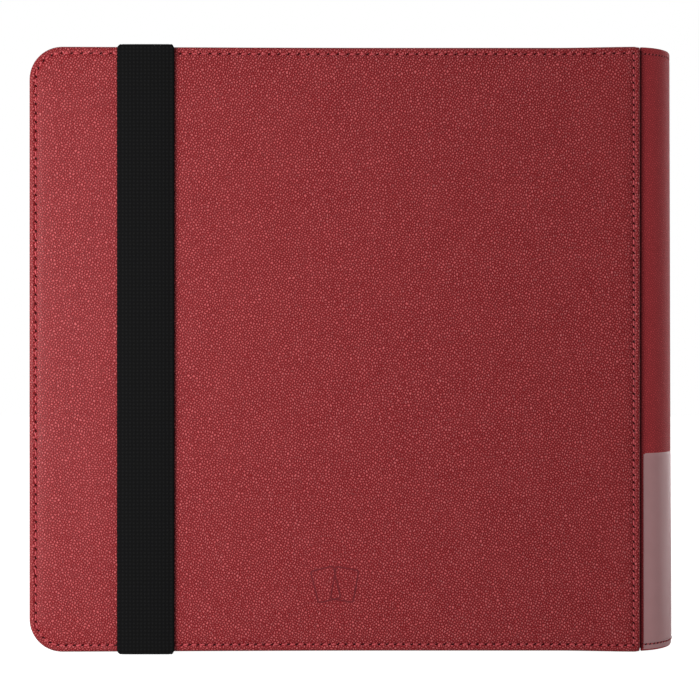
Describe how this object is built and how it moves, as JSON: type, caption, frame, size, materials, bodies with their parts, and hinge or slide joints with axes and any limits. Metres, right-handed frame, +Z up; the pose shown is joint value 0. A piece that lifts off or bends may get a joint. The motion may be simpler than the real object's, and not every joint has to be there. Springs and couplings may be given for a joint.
{
  "type": "trading card binder",
  "caption": "Zipperless trading card binder with padded stitched covers, a half-round spine with a label pocket, side-loading pocket leaves and an elastic strap closure",
  "frame": {"origin": "under the middle of the closed binder's bounding box, on the surface it stands on", "axes": "+X from the fore edge to the spine, +Y from the front cover to the rear cover, +Z up along the spine"},
  "size_m": [0.3454, 0.0576, 0.3232],
  "materials": {
    "leather": "pebble grain, satin",
    "spine_leather": "fine grain, satin",
    "foam": "soft padding, matte",
    "board": "stiff board, matte",
    "lining": "woven, matte",
    "thread": "twisted thread, matte",
    "elastic": "woven elastic, matte",
    "clear_film": "frosted film",
    "binding": "matte",
    "binding_cloth": "woven tape, matte",
    "leaf_core": "matte sheet",
    "pocket_film": "clear film, glossy"
  },
  "bodies": {
    "rear_cover": {"rear_skin": "leather", "rear_foam": "foam", "rear_board": "board", "rear_lining": "lining", "rear_stitching": "thread"},
    "spine": {"spine_skin": "spine_leather", "spine_board": "board", "spine_lining": "lining", "spine_stitching": "thread", "label_pocket": "clear_film", "front_hinge": "spine_leather", "rear_hinge": "spine_leather", "binding_strip": "binding", "binding_tape": "binding_cloth"},
    "front_cover": {"front_skin": "leather", "front_foam": "foam", "front_board": "board", "front_lining": "lining", "front_stitching": "thread"},
    "strap": {"elastic_strap": "elastic"},
    "leaf_01": {"leaf_01_core": "leaf_core", "leaf_01_pockets": "pocket_film"},
    "leaf_02": {"leaf_02_core": "leaf_core", "leaf_02_pockets": "pocket_film"},
    "leaf_03": {"leaf_03_core": "leaf_core", "leaf_03_pockets": "pocket_film"},
    "leaf_04": {"leaf_04_core": "leaf_core", "leaf_04_pockets": "pocket_film"},
    "leaf_05": {"leaf_05_core": "leaf_core", "leaf_05_pockets": "pocket_film"},
    "leaf_06": {"leaf_06_core": "leaf_core", "leaf_06_pockets": "pocket_film"},
    "leaf_07": {"leaf_07_core": "leaf_core", "leaf_07_pockets": "pocket_film"},
    "leaf_08": {"leaf_08_core": "leaf_core", "leaf_08_pockets": "pocket_film"},
    "leaf_09": {"leaf_09_core": "leaf_core", "leaf_09_pockets": "pocket_film"},
    "leaf_10": {"leaf_10_core": "leaf_core", "leaf_10_pockets": "pocket_film"},
    "leaf_11": {"leaf_11_core": "leaf_core", "leaf_11_pockets": "pocket_film"},
    "leaf_12": {"leaf_12_core": "leaf_core", "leaf_12_pockets": "pocket_film"},
    "leaf_13": {"leaf_13_core": "leaf_core", "leaf_13_pockets": "pocket_film"},
    "leaf_14": {"leaf_14_core": "leaf_core", "leaf_14_pockets": "pocket_film"},
    "leaf_15": {"leaf_15_core": "leaf_core", "leaf_15_pockets": "pocket_film"},
    "leaf_16": {"leaf_16_core": "leaf_core", "leaf_16_pockets": "pocket_film"},
    "leaf_17": {"leaf_17_core": "leaf_core", "leaf_17_pockets": "pocket_film"},
    "leaf_18": {"leaf_18_core": "leaf_core", "leaf_18_pockets": "pocket_film"},
    "leaf_19": {"leaf_19_core": "leaf_core", "leaf_19_pockets": "pocket_film"},
    "leaf_20": {"leaf_20_core": "leaf_core", "leaf_20_pockets": "pocket_film"}
  },
  "joints": [
    {"name": "spine_hinge", "type": "hinge", "parent": "rear_cover", "child": "spine", "pos_m": [0.15127, 0.028, 0.1616], "axis": [0, 0, 1], "range_deg": [0, 90]},
    {"name": "front_cover_hinge", "type": "hinge", "parent": "spine", "child": "front_cover", "pos_m": [0.15127, -0.028, 0.1616], "axis": [0, 0, 1], "range_deg": [0, 90]},
    {"name": "strap_release", "type": "slide", "parent": "rear_cover", "child": "strap", "axis": [0, 1, 0], "range_m": [0, 0.0512], "deforming": ["elastic_strap"]},
    {"name": "leaf_01_turn", "type": "hinge", "parent": "spine", "child": "leaf_01", "pos_m": [0.14438, -0.019, 0.1616], "axis": [0, 0, 1], "range_deg": [0, 74.7]},
    {"name": "leaf_02_turn", "type": "hinge", "parent": "spine", "child": "leaf_02", "pos_m": [0.14438, -0.017, 0.1616], "axis": [0, 0, 1], "range_deg": [0, 70.2]},
    {"name": "leaf_03_turn", "type": "hinge", "parent": "spine", "child": "leaf_03", "pos_m": [0.14438, -0.015, 0.1616], "axis": [0, 0, 1], "range_deg": [0, 65.7]},
    {"name": "leaf_04_turn", "type": "hinge", "parent": "spine", "child": "leaf_04", "pos_m": [0.14438, -0.013, 0.1616], "axis": [0, 0, 1], "range_deg": [0, 61.2]},
    {"name": "leaf_05_turn", "type": "hinge", "parent": "spine", "child": "leaf_05", "pos_m": [0.14438, -0.011, 0.1616], "axis": [0, 0, 1], "range_deg": [0, 56.7]},
    {"name": "leaf_06_turn", "type": "hinge", "parent": "spine", "child": "leaf_06", "pos_m": [0.14438, -0.009, 0.1616], "axis": [0, 0, 1], "range_deg": [0, 52.2]},
    {"name": "leaf_07_turn", "type": "hinge", "parent": "spine", "child": "leaf_07", "pos_m": [0.14438, -0.007, 0.1616], "axis": [0, 0, 1], "range_deg": [0, 47.7]},
    {"name": "leaf_08_turn", "type": "hinge", "parent": "spine", "child": "leaf_08", "pos_m": [0.14438, -0.005, 0.1616], "axis": [0, 0, 1], "range_deg": [0, 43.2]},
    {"name": "leaf_09_turn", "type": "hinge", "parent": "spine", "child": "leaf_09", "pos_m": [0.14438, -0.003, 0.1616], "axis": [0, 0, 1], "range_deg": [0, 38.7]},
    {"name": "leaf_10_turn", "type": "hinge", "parent": "spine", "child": "leaf_10", "pos_m": [0.14438, -0.001, 0.1616], "axis": [0, 0, 1], "range_deg": [0, 34.2]},
    {"name": "leaf_11_turn", "type": "hinge", "parent": "spine", "child": "leaf_11", "pos_m": [0.14438, 0.001, 0.1616], "axis": [0, 0, 1], "range_deg": [-34.2, 0]},
    {"name": "leaf_12_turn", "type": "hinge", "parent": "spine", "child": "leaf_12", "pos_m": [0.14438, 0.003, 0.1616], "axis": [0, 0, 1], "range_deg": [-38.7, 0]},
    {"name": "leaf_13_turn", "type": "hinge", "parent": "spine", "child": "leaf_13", "pos_m": [0.14438, 0.005, 0.1616], "axis": [0, 0, 1], "range_deg": [-43.2, 0]},
    {"name": "leaf_14_turn", "type": "hinge", "parent": "spine", "child": "leaf_14", "pos_m": [0.14438, 0.007, 0.1616], "axis": [0, 0, 1], "range_deg": [-47.7, 0]},
    {"name": "leaf_15_turn", "type": "hinge", "parent": "spine", "child": "leaf_15", "pos_m": [0.14438, 0.009, 0.1616], "axis": [0, 0, 1], "range_deg": [-52.2, 0]},
    {"name": "leaf_16_turn", "type": "hinge", "parent": "spine", "child": "leaf_16", "pos_m": [0.14438, 0.011, 0.1616], "axis": [0, 0, 1], "range_deg": [-56.7, 0]},
    {"name": "leaf_17_turn", "type": "hinge", "parent": "spine", "child": "leaf_17", "pos_m": [0.14438, 0.013, 0.1616], "axis": [0, 0, 1], "range_deg": [-61.2, 0]},
    {"name": "leaf_18_turn", "type": "hinge", "parent": "spine", "child": "leaf_18", "pos_m": [0.14438, 0.015, 0.1616], "axis": [0, 0, 1], "range_deg": [-65.7, 0]},
    {"name": "leaf_19_turn", "type": "hinge", "parent": "spine", "child": "leaf_19", "pos_m": [0.14438, 0.017, 0.1616], "axis": [0, 0, 1], "range_deg": [-70.2, 0]},
    {"name": "leaf_20_turn", "type": "hinge", "parent": "spine", "child": "leaf_20", "pos_m": [0.14438, 0.019, 0.1616], "axis": [0, 0, 1], "range_deg": [-74.7, 0]}
  ],
  "couplings": [
    {"joint": "front_cover_hinge", "follows": "spine_hinge", "ratio": 1},
    {"joint": "strap_release", "follows": "spine_hinge", "m_per_rad": 0.032594},
    {"joint": "leaf_01_turn", "follows": "spine_hinge", "ratio": 0.83},
    {"joint": "leaf_02_turn", "follows": "spine_hinge", "ratio": 0.78},
    {"joint": "leaf_03_turn", "follows": "spine_hinge", "ratio": 0.73},
    {"joint": "leaf_04_turn", "follows": "spine_hinge", "ratio": 0.68},
    {"joint": "leaf_05_turn", "follows": "spine_hinge", "ratio": 0.63},
    {"joint": "leaf_06_turn", "follows": "spine_hinge", "ratio": 0.58},
    {"joint": "leaf_07_turn", "follows": "spine_hinge", "ratio": 0.53},
    {"joint": "leaf_08_turn", "follows": "spine_hinge", "ratio": 0.48},
    {"joint": "leaf_09_turn", "follows": "spine_hinge", "ratio": 0.43},
    {"joint": "leaf_10_turn", "follows": "spine_hinge", "ratio": 0.38},
    {"joint": "leaf_11_turn", "follows": "spine_hinge", "ratio": -0.38},
    {"joint": "leaf_12_turn", "follows": "spine_hinge", "ratio": -0.43},
    {"joint": "leaf_13_turn", "follows": "spine_hinge", "ratio": -0.48},
    {"joint": "leaf_14_turn", "follows": "spine_hinge", "ratio": -0.53},
    {"joint": "leaf_15_turn", "follows": "spine_hinge", "ratio": -0.58},
    {"joint": "leaf_16_turn", "follows": "spine_hinge", "ratio": -0.63},
    {"joint": "leaf_17_turn", "follows": "spine_hinge", "ratio": -0.68},
    {"joint": "leaf_18_turn", "follows": "spine_hinge", "ratio": -0.73},
    {"joint": "leaf_19_turn", "follows": "spine_hinge", "ratio": -0.78},
    {"joint": "leaf_20_turn", "follows": "spine_hinge", "ratio": -0.83}
  ]
}
